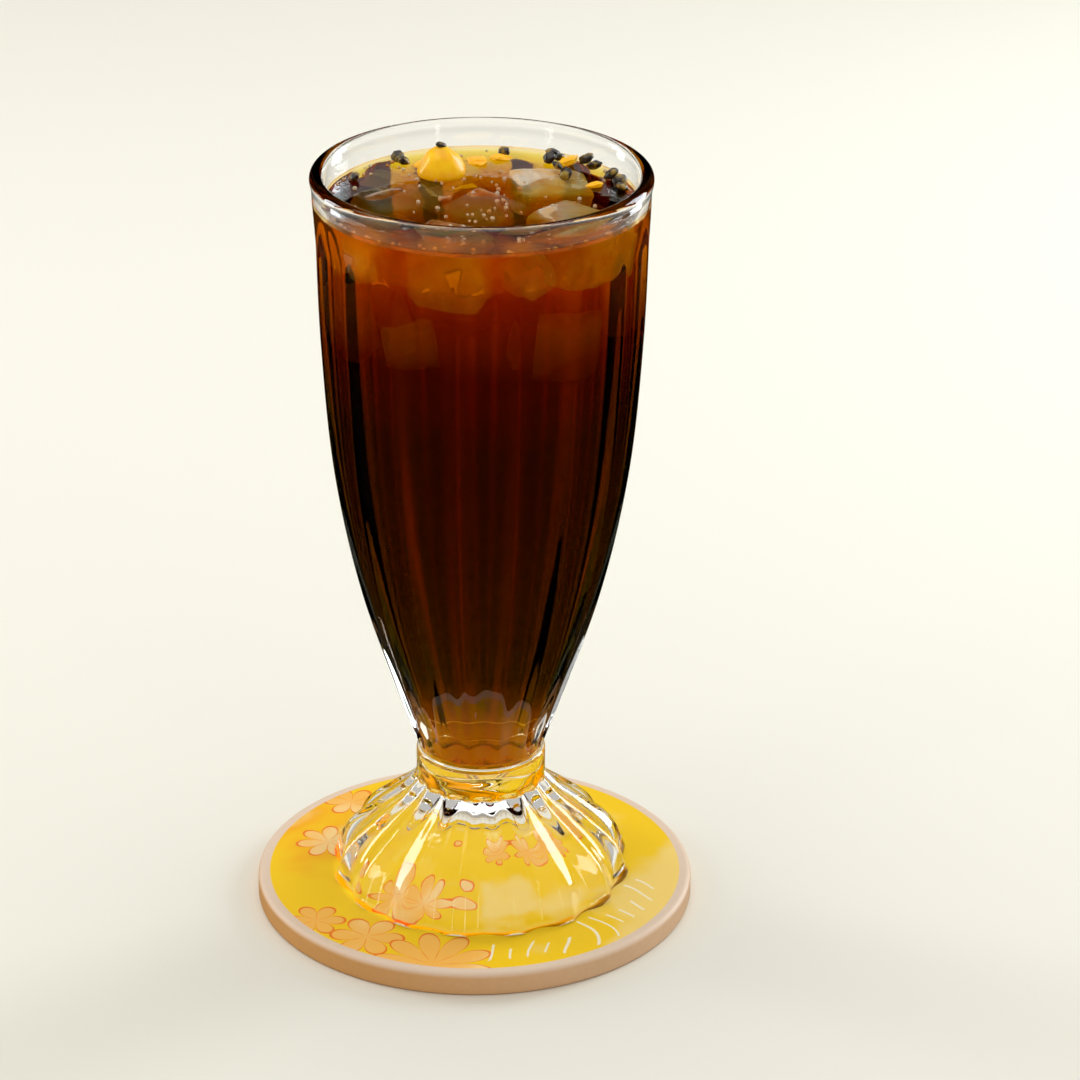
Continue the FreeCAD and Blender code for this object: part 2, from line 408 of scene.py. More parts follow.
def lathe(profile, angles, shape):
    """Vertices and faces of a closed body whose rings run from pole to pole."""
    verts = []
    rows = []
    for entry in profile:
        radius, height = entry[:2]
        if radius < 1e-7:
            rows.append([len(verts)])
            verts.append((0.0, 0.0, height))
            continue
        rows.append(range(len(verts), len(verts) + len(angles)))
        for angle in angles:
            reach = radius * shape(angle, entry)
            verts.append((reach * math.cos(angle), reach * math.sin(angle), height))
    faces = []
    count = len(angles)
    for low, high in zip(rows, rows[1:]):
        for side in range(count):
            after = (side + 1) % count
            if len(low) == 1:
                faces.append((low[0], high[after], high[side]))
            elif len(high) == 1:
                faces.append((low[side], low[after], high[0]))
            else:
                faces.append((low[side], low[after], high[after], high[side]))
    return verts, faces


def round_angles(count):
    """Even angles round a full turn."""
    return [math.tau * step / count for step in range(count)]


def even(angle, entry):
    """A ring with no flutes."""
    return 1.0


# ---------------------------------------------------------------- the glass's outline


class Outline:
    """The glass's outer and inner outlines, worked out from its sizes."""

    BOWL_SWELL = ((0.12, 0.245), (0.29, 0.565), (0.51, 0.83), (0.75, 0.955))
    FOOT_SWELL = ((0.30, 0.14), (0.62, 0.52), (0.86, 0.86))
    ARCH_HEIGHT = 9.0 * MM
    ARCH_GAP = 2.6 * MM
    FADE_HEIGHT = 8.0 * MM
    LIP_HEIGHT = 4.6 * MM
    LIP_PROUD = 0.5 * MM
    WELL_DEPTH = 10.4 * MM
    WELL_STEP = 0.7 * MM
    WELL_TAPER = 0.8 * MM
    WELL_ROUND = 5.0 * MM
    EDGE_ROUND = 1.6 * MM
    HOLLOW_RIM = 4.0 * MM
    HOLLOW_CROWN = 9.5 * MM
    RIDGE_SOFT = 0.0007
    BOWL_DIP = 0.7 * MM
    FOOT_DIP = 1.9 * MM
    ROUND = 1.1

    def __init__(self, sizes):
        self.sizes = sizes
        self.side = math.pi / sizes.flutes
        self.neck = sizes.foot_height + sizes.collar_height
        self.band_base = sizes.height - self.LIP_HEIGHT
        self.band_radius = sizes.rim_radius - self.LIP_PROUD
        self.mouth = sizes.rim_radius - sizes.lip
        self.floor = COFFEE_LOW.z - GLASS_LOW.z
        self.level = COFFEE_HIGH.z - GLASS_LOW.z
        self.well_top = self.floor + self.WELL_DEPTH
        self.arch_top = self.band_base - self.ARCH_GAP
        self.arch_base = self.arch_top - self.ARCH_HEIGHT
        self.bowl_path = smooth_path(
            self._swell((sizes.neck_radius, self.neck), (self.band_radius, self.band_base),
                        self.BOWL_SWELL), 60)

    @staticmethod
    def _swell(low, high, shares):
        inside = [(mix(low[0], high[0], out), mix(low[1], high[1], up)) for up, out in shares]
        return [(*point, 0.0) for point in [low] + inside + [high]]

    def outer(self, height):
        """The bowl's outer radius over the ridges at a height."""
        path = self.bowl_path
        for low, high in zip(path, path[1:]):
            if height <= high.y:
                return mix(low.x, high.x, max(0.0, (height - low.y) / (high.y - low.y)))
        return self.band_radius

    def flat(self, radius):
        """How flat the flutes are at a radius: 1 leaves it round."""
        return math.cos(self.side - self.sizes.ridge_width / 2 / radius)

    def bowl_flat(self, height, radius):
        """How flat the bowl's flutes are at a height, with arches at the top."""
        if height >= self.arch_top:
            return mix(1.0, 1.03, min(1.0, (height - self.arch_top) / self.ARCH_GAP))
        if height >= self.arch_base:
            share = (height - self.arch_base) / self.ARCH_HEIGHT
            low = self.flat(self.band_radius) * self.outer(self.arch_base)
            return mix(low, self.outer(self.arch_top), share) / radius
        fade = min(1.0, (height - self.neck) / self.FADE_HEIGHT)
        return mix(1.004, self.flat(radius), fade)

    def inner(self, height):
        """The cavity's radius at a height above the well."""
        if height >= self.band_base:
            return self.mouth
        flat = math.cos(self.side)
        share = (height - self.well_top) / (self.band_base - self.well_top)
        wall = mix(self.sizes.low_wall, self.band_radius * flat - self.mouth, share)
        return self.outer(height) * flat - wall

    def foot(self):
        """The foot's outline from the middle of its underside to the collar."""
        sizes = self.sizes
        edge = (sizes.foot_radius, self.EDGE_ROUND)
        crown = (sizes.collar_radius, sizes.foot_height)
        corner = quarter((edge[0] - self.EDGE_ROUND, edge[1]), -math.pi / 2, 0.0,
                         (self.EDGE_ROUND, self.EDGE_ROUND), 6)
        rows = self.hollow()
        for r, z in corner:
            rows.append((r, z, self.flat(sizes.foot_radius) * sizes.foot_radius / r,
                         self.FOOT_DIP))
        for point in smooth_path(self._swell(edge, crown, self.FOOT_SWELL), 16)[1:]:
            dip = self.FOOT_DIP * point.x / sizes.foot_radius
            rows.append((point.x, point.y, self.flat(point.x), dip))
        return rows

    def hollow(self):
        """The hollow under the foot, from its top to the ring that the foot stands on."""
        radius = self.sizes.foot_radius - self.HOLLOW_RIM
        top = self.sizes.foot_height - self.HOLLOW_CROWN
        dome = quarter((0.0, 0.0), math.pi / 2, 0.0, (radius, top), 24)
        dome[0] = (0.0, top)
        return [(r, z, self.ROUND, 0.0) for r, z in dome]

    def collar(self):
        """The collar's outline up to the neck."""
        radius = self.sizes.collar_radius
        edge = 1.2 * MM
        base = self.sizes.foot_height
        rows = [(radius, mix(base, self.neck - edge, step / 8)) for step in range(1, 9)]
        rows += quarter((radius - edge, self.neck - edge), 0.0, math.pi / 2, (edge, edge), 6)[1:]
        return [(*row, self.ROUND, 0.0) for row in rows]

    def bowl_dip(self, height):
        """How deep the middle of a flute lies behind its ridges at a height."""
        low = (height - self.neck) / self.FADE_HEIGHT
        high = (self.arch_top - height) / self.ARCH_HEIGHT
        return self.BOWL_DIP * max(0.0, min(1.0, low, high))

    def bowl(self):
        """The bowl's outline from the neck to the lip's top."""
        heights = [mix(self.neck, self.arch_base, step / 76) for step in range(77)]
        heights += [mix(self.arch_base, self.arch_top, step / 18) for step in range(1, 19)]
        heights += [mix(self.arch_top, self.band_base, step / 4) for step in range(1, 5)]
        rows = []
        for height in heights:
            radius = self.outer(height)
            rows.append((radius, height, self.bowl_flat(height, radius), self.bowl_dip(height)))
        lip = self.sizes.lip / 2
        top = self.sizes.height - lip
        for step in range(1, 7):
            share = step / 6
            ease = share * share * (3 - 2 * share)
            rows.append((mix(self.band_radius, self.sizes.rim_radius, ease),
                         mix(self.band_base, top, share), self.ROUND, 0.0))
        centre = (self.sizes.rim_radius - lip, top)
        over = quarter(centre, 0.0, math.pi, (lip, lip), 16)[1:]
        return rows + [(r, z, self.ROUND, 0.0) for r, z in over]

    def inside(self, grow=0.0):
        """The cavity's outline from the mouth down to the middle of its floor."""
        flare_radius = self.inner(self.well_top)
        well = flare_radius - self.WELL_STEP
        floor_radius = well - self.WELL_TAPER
        rows = []
        top = self.sizes.height - self.sizes.lip / 2
        for step in range(71):
            height = mix(top, self.well_top + self.WELL_STEP, step / 70)
            rows.append((self.inner(height) + grow, height))
        rows[-1] = (flare_radius + grow, self.well_top + self.WELL_STEP)
        rows.append((mix(flare_radius, well, 0.5) + grow, self.well_top + self.WELL_STEP * 0.4))
        rows.append((well + grow, self.well_top))
        for step in range(1, 7):
            share = step / 6
            rows.append((mix(well, floor_radius, share) + grow,
                         mix(self.well_top, self.floor + self.WELL_ROUND, share)))
        corner = quarter((floor_radius - self.WELL_ROUND, self.floor + self.WELL_ROUND), 0.0,
                         -math.pi / 2, (self.WELL_ROUND + grow, self.WELL_ROUND + grow), 12)
        rows += corner[1:]
        flat_radius = floor_radius - self.WELL_ROUND
        rows += [(flat_radius * share, self.floor - grow) for share in (0.6, 0.3, 0.0)]
        return rows

    def angles(self):
        """Angles round the glass, closer together at the ridges."""
        per_flute = 14
        first = self.sizes.flute_turn - math.pi / 2
        angles = []
        for flute in range(self.sizes.flutes):
            for step in range(per_flute):
                share = -1 + 2 * step / per_flute
                angles.append(first + (2 * flute + 1.25 * share - 0.25 * share ** 3) * self.side)
        return angles

    def fluted(self, angle, entry):
        """How far out a ring reaches at an angle, with its flutes and soft ridges."""
        radius, _, flatness, dip = entry
        first = self.sizes.flute_turn - math.pi / 2
        turn = (angle - first + self.side) % (2 * self.side) - self.side
        sunk = dip * math.cos(math.pi / 2 * turn / self.side) ** 2 / radius
        flat = flatness / math.cos(turn) - sunk
        return (1 + flat - math.hypot(1 - flat, self.RIDGE_SOFT)) / 2


# ---------------------------------------------------------------- materials


GLASS_IOR = 1.5
COFFEE_IOR = 1.333
HOLLOW_IOR = 1.25
WALL_MARK = "at_glass"
WHITE = (1.0, 1.0, 1.0)
BLACK = (0.0, 0.0, 0.0)
UPRIGHT = (1, 1, 0.35)
WETTED, FOOTED, SPLASHED = 1, 2, 3


def glass(name, tint, bend, waves, strength, stretch=UPRIGHT):
    """Clear pressed glass with faint waves from the mould."""
    made = Material(name, Base_Color=tint, Transmission_Weight=1.0, IOR=bend, Roughness=0.0)
    made.bump(made.clouds(waves, 1.0, stretch=stretch), strength, 0.0006)
    return made


def glass_materials(tint, looks):
    """The glass by itself, against coffee, over the coaster, and with a film of coffee.

    Against coffee it bends light far less. Over the coaster it is seen almost as if it lay
    flat on the print."""
    alone = glass("clear pressed glass", tint, GLASS_IOR, 90.0, 0.12)
    wetted = glass("glass against the coffee", tint, GLASS_IOR / COFFEE_IOR, 60.0, 0.08)
    footed = glass("glass over the coaster", tint, HOLLOW_IOR, 60.0, 0.05, (1, 1, 1))
    splashed = glass("glass with a film of coffee", tint, GLASS_IOR, 90.0, 0.12)
    splash(splashed, tint, looks)
    return [made.data for made in (alone, wetted, footed, splashed)]


def splash(made, tint, looks):
    """Run a thin film of coffee up the near wall, over the level."""
    _, along, height = made.axes()
    runs = made.clouds(90.0, 2.0) * (2 * MM)
    film = made.range(height + runs, COFFEE_HIGH.z + 4.2 * MM, COFFEE_HIGH.z + 6.2 * MM, 1.0, 0.0)
    near = made.range(along, GLASS_MIDDLE.y - 30 * MM, GLASS_MIDDLE.y - 12 * MM, 1.0, 0.0)
    made.set("Base_Color", made.mix(film * near, tint, looks.film))
    # Painted glow: in patches, the film above the level on the near wall emits light of its own,
    # though it is no lamp.
    depth = made.range(made.clouds(110.0, 3.0), 0.35, 0.65, 0.35, 1.0)
    made.set("Emission_Color", made.mix(film * near * depth, BLACK, looks.film_painted_glow))
    made.set("Emission_Strength", 0.5)


def coffee_material(looks, sizes):
    """Clear dark brew, tinted at the glass by how strong it is at that height."""
    made = Material("cold brew", Transmission_Weight=1.0, IOR=1.0, Roughness=0.0)
    across, along, height = made.axes()
    streaks = made.clouds(34.0, 3.0, stretch=(1, 1, 0.25)) - 0.5
    share = (height - COFFEE_LOW.z) / (COFFEE_HIGH.z - COFFEE_LOW.z) + streaks * 0.08
    strength = made.ramp(share, (
        (0.02, looks.bottom), (0.09, mix_colour(looks.bottom, looks.middle, 0.4)),
        (0.15, looks.middle), (0.66, looks.middle), (0.79, looks.upper),
        (0.865, mix_colour(looks.upper, looks.top, 0.45)), (0.93, looks.top)))
    # Painted highlight: behind each ridge of the glass, the coffee's tint is shifted halfway
    # towards the ridge tint, in place of light that the ridges catch.
    turn = (along - GLASS_MIDDLE.y).turn_of(across - GLASS_MIDDLE.x)
    flute = (turn - sizes.flute_turn + math.pi / 2) * sizes.flutes
    ridge = (0.5 - flute.cosine() * 0.5) ** 6.0
    strength = made.mix(ridge * 0.5, strength, made.mix(0.5, strength, looks.ridge))
    at_glass = made.node("ShaderNodeAttribute", {"attribute_name": WALL_MARK}, {}, "Fac")
    made.set("Base_Color", made.mix(at_glass, WHITE, strength))
    made.drink_up(looks.thin, looks.density)
    return made.data


def film_materials():
    """The coffee's open surface, and the unseen underside of that thin film."""
    surface = Material("cold brew surface", Base_Color=WHITE, Transmission_Weight=1.0,
                       IOR=COFFEE_IOR, Roughness=0.0)
    surface.bump(surface.clouds(120.0, 2.0), 0.25, 0.001)
    under = Material("under the surface", Transmission_Weight=1.0, IOR=1.0, Roughness=0.0)
    under.set("Base_Color", under.mix(under.clouds(80.0), (0.99, 0.99, 0.99), WHITE))
    return surface.data, under.data


def ice_material(name, tones, clear, rough, bend=1.31, shine=0.6):
    """Wet ice, clouded between two tones, with a finely melted surface."""
    made = Material(name, Transmission_Weight=clear, IOR=bend, Coat_Weight=shine,
                    Coat_Roughness=0.05)
    patches = made.clouds(150.0, 4.0, 0.6)
    made.set("Base_Color", made.mix(made.range(patches, 0.38, 0.62), *tones))
    made.set("Roughness", made.range(patches, 0.35, 0.75, rough * 0.2, rough))
    made.bump(made.clouds(420.0, 3.0), 0.35, 0.0008)
    return made.data


def bubble_material():
    """Tiny wet bubbles that catch the light."""
    made = Material("bubble", Transmission_Weight=0.5, Roughness=0.04, IOR=1.33,
                    Coat_Weight=1.0, Coat_Roughness=0.02)
    shade = made.clouds(300.0, 1.0)
    made.set("Base_Color", made.mix(made.range(shade, 0.35, 0.65), (0.95, 0.45, 0.10),
                                    (0.98, 0.85, 0.62)))
    return made.data


def pulp_material(looks):
    """Wet yellow pulp, deeper in colour where it is thick."""
    made = Material("passion fruit pulp", Roughness=0.4, IOR=1.38, Coat_Weight=0.3,
                    Subsurface_Weight=0.2, Subsurface_Scale=0.002, Coat_Roughness=0.03,
                    Subsurface_Radius=(1.0, 0.6, 0.1))
    threads = made.clouds(380.0, 4.0, stretch=(1, 1, 0.4))
    low = made.range(made.axes()[2], COFFEE_HIGH.z - 1 * MM, COFFEE_HIGH.z + 3 * MM)
    deep = (looks.pulp[0] * 0.95, looks.pulp[1] * 0.80, 0.0)
    tone = made.mix(made.range(threads, 0.3, 0.7) * low, deep, looks.pulp)
    made.set("Base_Color", tone)
    # Painted glow: the pulp emits its own colour faintly, though it is no lamp.
    made.set("Emission_Color", tone)
    made.set("Emission_Strength", 0.22)
    made.bump(threads, 0.2, 0.0005)
    return made.data


def seed_material(looks):
    """Dark seeds with a wet film of pulp."""
    made = Material("wet seed", Roughness=0.35, Coat_Weight=0.35, Coat_Roughness=0.08)
    film = made.clouds(430.0, 2.0)
    made.set("Base_Color", made.mix(made.range(film, 0.50, 0.66), looks.seed, looks.seed_film))
    made.bump(made.clouds(900.0, 2.0), 0.4, 0.0004)
    return made.data


def petals(made, across, along, middle, radius, count, turn):
    """A printed flower: where its petals are filled and where their outlines run."""
    out = across - middle[0]
    up = along - middle[1]
    reach = (out * out + up * up) ** 0.5
    lobe = abs((up.turn_of(out) * (count / 2) + turn).cosine())
    edge = radius * (0.25 + 0.75 * lobe ** 0.45)
    fill = made.range(reach - edge, -0.2 * MM, 0.2 * MM, 1.0, 0.0)
    rim = made.range(abs(reach - edge + 0.3 * MM), 0.2 * MM, 0.5 * MM, 1.0, 0.0)
    seam = made.range(lobe, 0.06, 0.14, 1.0, 0.0) * fill
    return fill, rim.either(seam)


def coaster_material(looks, radius):
    """Coaster with a yellow print inside a bare border, above a bare side."""
    made = Material("printed coaster", Roughness=0.5, Coat_Weight=0.08, Coat_Roughness=0.25,
                    Specular_IOR_Level=0.3)
    across, along, height = made.axes()
    reach = (across * across + along * along) ** 0.5
    wash = made.clouds(30.0, 3.0)
    left = made.range(across, -0.05, -0.012, 1.0, 0.0)
    print_tone = made.mix(left * made.range(wash, 0.40, 0.62), looks.field, looks.warm)
    pale = made.mix(0.5, looks.field, looks.faded)
    print_tone = made.mix(made.range(wash, 0.56, 0.66) * 0.8, print_tone, pale)
    for flower in CoasterPrint.FLOWERS:
        fill, rim = petals(made, across, along, *flower)
        shade = made.mix(made.range(wash, 0.45, 0.60), looks.petal, looks.pale_petal)
        print_tone = made.mix(fill, print_tone, shade)
        print_tone = made.mix(rim, print_tone, looks.outline)
    print_tone = made.mix(strokes(made, across, along, reach, radius), print_tone, looks.stroke)
    grain = made.clouds(700.0, 3.0)
    ring = made.mix(grain, [part * 0.93 for part in looks.border], looks.border)
    # Painted light and shade on the side: darker and warmer on the left, paler towards the right,
    # as if lit from the right.
    painted_light_across_side = made.range(across, -0.04, 0.05)
    side = made.mix(painted_light_across_side, looks.side, mix_colour(looks.side, looks.border, 0.55))
    side = made.mix(grain * 0.25, side, looks.speck)
    bare = made.mix(made.range(height, COASTER_HIGH.z - 1.5 * MM, COASTER_HIGH.z), side, ring)
    inside = made.range(reach, radius - 3.1 * MM, radius - 2.8 * MM, 1.0, 0.0)
    top = height > (COASTER_HIGH.z - 0.2 * MM)
    made.set("Base_Color", made.mix(inside * top, bare, print_tone))
    # Painted light: the print glows strongly under the glass foot and faintly everywhere else,
    # though it is no lamp.
    painted_glow_under_foot = made.range(reach, 34 * MM, 37 * MM, 1.0, 0.12)
    made.set("Emission_Color", made.mix(painted_glow_under_foot * inside * top, BLACK, print_tone))
    made.set("Emission_Strength", 0.38)
    made.bump(grain, 0.1, 0.0003)
    return made.data


def strokes(made, across, along, reach, radius):
    """Where the short pale strokes lie, side by side in front of the border."""
    wave = (made.clouds(55.0, 0.0) - 0.5) * 0.34
    middle = CoasterPrint.STROKE_MIDDLE
    angle = along.turn_of(across) + wave + (reach - 45 * MM) * 7.0
    step = CoasterPrint.STROKE_STEP
    line = abs(angle % step - step / 2) * reach
    thin = made.range(line, 0.22 * MM, 0.45 * MM, 1.0, 0.0)
    jitter = (made.clouds(110.0, 0.0) - 0.5) * 0.018
    band = made.range(abs(reach + jitter - middle), 4.0 * MM, 4.4 * MM, 1.0, 0.0)
    band = band * made.range(reach, radius - 4.5 * MM, radius - 4.1 * MM, 1.0, 0.0)
    first, last = CoasterPrint.STROKE_SPAN
    return thin * band * (angle > first) * (angle < last)


class CoasterPrint:
    """Where the print's flowers and strokes lie, in metres and radians."""

    # Middle, radius, petals and turn.
    FLOWERS = (((-0.026, -0.037), 0.0095, 6, 0.4), ((-0.0095, -0.0505), 0.0155, 10, 1.1),
               ((-0.039, -0.029), 0.0075, 6, 0.0), ((-0.038, 0.012), 0.0085, 7, 0.9),
               ((-0.033, 0.034), 0.0075, 6, 0.2), ((-0.014, -0.017), 0.0130, 8, 0.7),
               ((0.012, 0.010), 0.0110, 8, 0.3))
    STROKE_STEP = math.radians(6.5)
    STROKE_MIDDLE = 45.5 * MM
    STROKE_SPAN = (math.radians(-84), math.radians(-8))


def floor_material(colour):
    """A plain matt floor."""
    made = Material("pale floor", Roughness=0.9)
    grain = made.clouds(3.0, 2.0)
    made.set("Base_Color", made.mix(grain, [part * 0.995 for part in colour], colour))
    return made.data


# ---------------------------------------------------------------- ice and seeds


def settled(piece):
    """Apply a piece's modifiers to its mesh."""
    graph = bpy.context.evaluated_depsgraph_get()
    mesh = bpy.data.meshes.new_from_object(piece.evaluated_get(graph))
    old = piece.data
    piece.modifiers.clear()
    piece.data = mesh
    bpy.data.meshes.remove(old)


def chip(bm, rng, cuts, depth):
    """Cut flat chips from the corners of a block."""
    middle = sum((vert.co for vert in bm.verts), Vector()) / len(bm.verts)
    reach = max((vert.co - middle).length for vert in bm.verts)
    for _ in range(cuts):
        way = Vector((rng.uniform(-1, 1), rng.uniform(-1, 1), rng.uniform(-1, 1))).normalized()
        far = max((vert.co - middle).dot(way) for vert in bm.verts)
        start = middle + way * (far - reach * depth * rng.uniform(0.5, 1.0))
        geometry = bm.verts[:] + bm.edges[:] + bm.faces[:]
        cut = bmesh.ops.bisect_plane(bm, geom=geometry, plane_co=start, plane_no=way,
                                     clear_outer=True)
        rim = [part for part in cut["geom_cut"] if isinstance(part, bmesh.types.BMEdge)]
        bmesh.ops.contextual_create(bm, geom=rim)


def melted(piece, grain, seed, wave):
    """Round a block's edges and give it the soft dents of melting ice."""
    remesh = piece.modifiers.new("remesh", "REMESH")
    remesh.mode = "VOXEL"
    remesh.voxel_size = grain
    relax = piece.modifiers.new("relax", "SMOOTH")
    relax.factor = 0.5
    relax.iterations = 5
    settled(piece)
    shift = Vector((seed * 7.3, seed * 3.1, seed * 5.7))
    for vert in piece.data.vertices:
        dent = noise.noise(vert.co * 160 + shift) * wave + noise.noise(vert.co * 420) * wave / 3
        vert.co += vert.normal * (dent - wave * 0.6)
    piece.data.polygons.foreach_set("use_smooth", [True] * len(piece.data.polygons))


def seed_shape(bm, place, size, turn):
    """One flattened drop-shaped seed."""
    made = bmesh.ops.create_icosphere(bm, subdivisions=3, radius=1.0)
    for vert in made["verts"]:
        point = vert.co.copy()
        taper = 1 - 0.28 * max(0.0, point.x) ** 2
        point = Vector((point.x * 1.25, point.y * taper, point.z * 0.62 * taper)) * size
        point *= 1 + 0.22 * noise.noise(vert.co * 1.9 + place * 700)
        point.rotate(turn)
        vert.co = point + place


# ---------------------------------------------------------------- operators


class DrinkPiece:
    """What the operators of this drink share."""

    bl_options = {"REGISTER", "UNDO"}

    def execute(self, context):
        """Build the pieces."""
        self.build(context.scene)
        return {"FINISHED"}


class DRINK_OT_glass(DrinkPiece, bpy.types.Operator):
    """Build the fluted glass: foot, collar, bowl and rounded lip in one piece"""

    bl_idname = "drink.glass"
    bl_label = "Glass"

    def build(self, scene):
        sizes = scene.glass_sizes
        outline = Outline(sizes)
        profile = outline.foot() + outline.collar() + outline.bowl()
        profile += [(*row, outline.ROUND, 0.0) for row in outline.inside()[1:]]
        alone, *others = glass_materials(sizes.tint, scene.drink_looks)
        shape = lathe(profile, outline.angles(), outline.fluted)
        piece = mesh_piece("fluted_glass", shape, alone)
        for material in others:
            piece.data.materials.append(material)
        self.wet(piece, outline)
        stand(piece)
        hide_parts("glass")

    def wet(self, piece, outline):
        """Give the wall against the coffee and the hollow under the foot their materials."""
        under = outline.sizes.foot_height - outline.HOLLOW_CROWN + 0.1 * MM
        for face in piece.data.polygons:
            height = face.center.z
            radius = math.hypot(face.center.x, face.center.y)
            inner = outline.inner(max(height, outline.well_top)) + 0.1 * MM
            if outline.floor - 0.1 * MM < height < outline.level and radius < inner:
                face.material_index = WETTED
            elif height >= outline.level and radius < inner and face.center.y < 0:
                face.material_index = SPLASHED
            elif height < under and face.normal.z < 0 and self.inward(face):
                face.material_index = FOOTED

    @staticmethod
    def inward(face):
        """Whether a face looks towards the glass's axis or straight down near it."""
        return face.center.x * face.normal.x + face.center.y * face.normal.y <= 0


def stand(piece):
    """Put a piece made about the glass's own axis where the glass stands."""
    piece.data.transform(Matrix.Translation((GLASS_MIDDLE.x, GLASS_MIDDLE.y, GLASS_LOW.z)))


def afloat(across, along, up):
    """A place over the middle of the coffee's surface, from millimetres."""
    return Vector((GLASS_MIDDLE.x + across * MM, GLASS_MIDDLE.y + along * MM,
                   COFFEE_HIGH.z + up * MM))


class DRINK_OT_ice(DrinkPiece, bpy.types.Operator):
    """Build the ice blocks: those that break the surface and those sunk below them"""

    bl_idname = "drink.ice"
    bl_label = "Ice"

    # Place across, along and over the level in millimetres, and size as a share of a block.
    SUNK = ((24, 14, -27, 0.8), (-6, 24, -25, 1.0), (-24, 4, -29, 0.9), (-14, -24, -26, 0.7),
            (17, -17, -28, 0.95), (11, -27, -7, 0.62), (-25, -19, -7, 0.6), (-5, 28, -8, 0.6),
            (-24, 21, -7, 0.55))
    BLOCK = 17 * MM
    WARM = ((0.66, 0.20, 0.02), (0.98, 0.58, 0.22))
    PALE = ((0.96, 0.70, 0.38), (1.0, 0.93, 0.78))
    FAINT = ((0.97, 0.80, 0.55), (1.0, 0.95, 0.86))
    FROSTED = ("ice_3", "ice_4")

    def build(self, scene):
        amber = ice_material("amber ice", self.WARM, 0.75, 0.15)
        frosted = ice_material("frosted ice", self.PALE, 0.45, 0.4)
        amber_sunk = ice_material("sunk clear ice", self.FAINT, 0.9, 0.1, 1.0, 0.0)
        frosted_sunk = ice_material("sunk frosted ice", self.PALE, 0.6, 0.3, 1.0, 0.0)
        rng = random.Random(11)
        for count, name in enumerate(ICE_NODES):
            bm = bmesh.new()
            bm.from_mesh(frame["nodes"][name].data)
            bmesh.ops.remove_doubles(bm, verts=bm.verts, dist=0.001 * MM)
            chip(bm, rng, 4, 0.12)
            pale = name in self.FROSTED
            above, below = (frosted, frosted_sunk) if pale else (amber, amber_sunk)
            piece = solid_block("ice_block_%d" % (count + 1), bm, above)
            piece.data.materials.append(below)
            melted(piece, 0.6 * MM, count + 1, 0.3 * MM)
            for face in piece.data.polygons:
                face.material_index = 0 if face.center.z > COFFEE_HIGH.z else 1
            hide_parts(name)
        for count, (across, along, down, share) in enumerate(self.SUNK):
            self.sunk("sunk_ice_%d" % (count + 1), afloat(across, along, down),
                      share * self.BLOCK, rng, amber_sunk)

    def sunk(self, name, place, size, rng, material):
        """One block under the surface."""
        bm = bmesh.new()
        bmesh.ops.create_cube(bm, size=size)
        turn = Euler([rng.uniform(-0.5, 0.5) for _ in range(2)] + [rng.uniform(0, 3)])
        bmesh.ops.transform(bm, verts=bm.verts, matrix=Matrix.LocRotScale(
            place, turn, (1, rng.uniform(0.85, 1.1), rng.uniform(0.8, 1.0))))
        chip(bm, rng, 5, 0.18)
        piece = solid_block(name, bm, material)
        melted(piece, 0.7 * MM, place.x * 900, 0.35 * MM)


